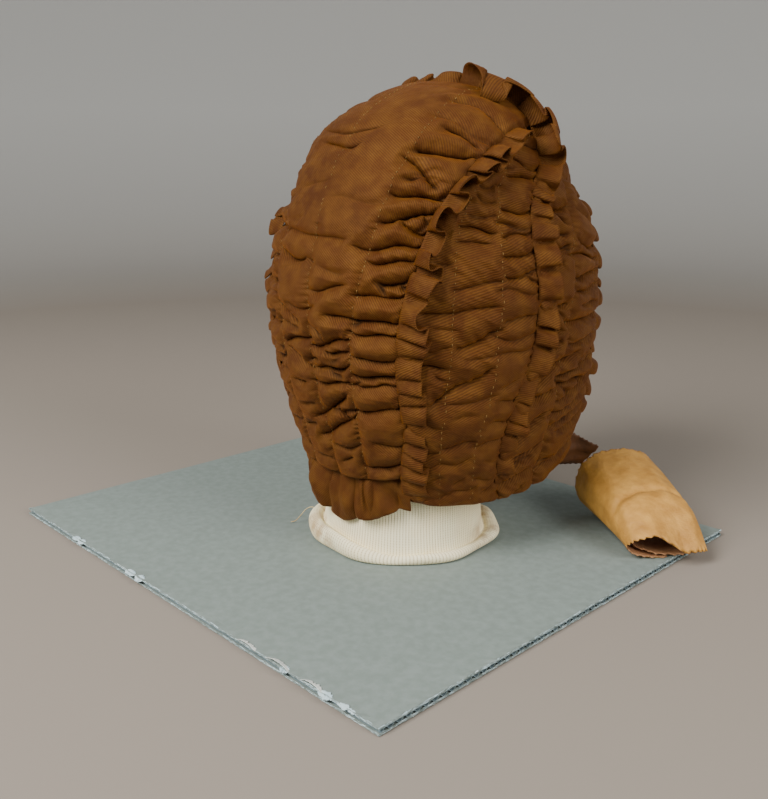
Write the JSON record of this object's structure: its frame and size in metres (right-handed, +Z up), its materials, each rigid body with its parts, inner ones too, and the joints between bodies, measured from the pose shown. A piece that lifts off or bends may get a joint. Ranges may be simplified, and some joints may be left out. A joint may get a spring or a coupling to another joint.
{
  "type": "quilted hood on a knit-covered post and corrugated card stand",
  "caption": "Padded silk hood, gathered in quilted channels with frilled seams, on a knit-covered post that stands on a corrugated card sheet; ribbon ties lie rolled.",
  "frame": {"origin": "centre of the board's underside, on the surface that the stand rests on", "axes": "+Z up; -Y towards the front, where the face opening is; +X towards the wearer's left"},
  "size_m": [0.3699, 0.3164, 0.2977],
  "materials": {
    "silk": "copper-brown twill silk, gathered over soft wadding",
    "strap": "dark brown pinked silk ribbon",
    "ribbon": "tan pinked ribbon, softly creased",
    "pad": "plain undyed cover over foam",
    "knit": "cream ribbed cotton stockinette",
    "board": "blue-grey corrugated card with torn edges"
  },
  "bodies": {
    "root": {"back_panel": "silk", "side_panel_right": "silk", "side_panel_left": "silk", "front_band": "silk", "back_frill_right": "silk", "back_frill_left": "silk", "crown_frill": "silk", "face_frill": "silk", "nape_frill": "silk", "tie_strap_right": "strap", "tie_strap_left": "strap", "tie_roll_right": "ribbon", "tie_roll_left": "ribbon", "padded_post": "pad", "knit_sleeve": "knit", "board": "board"}
  },
  "joints": []
}
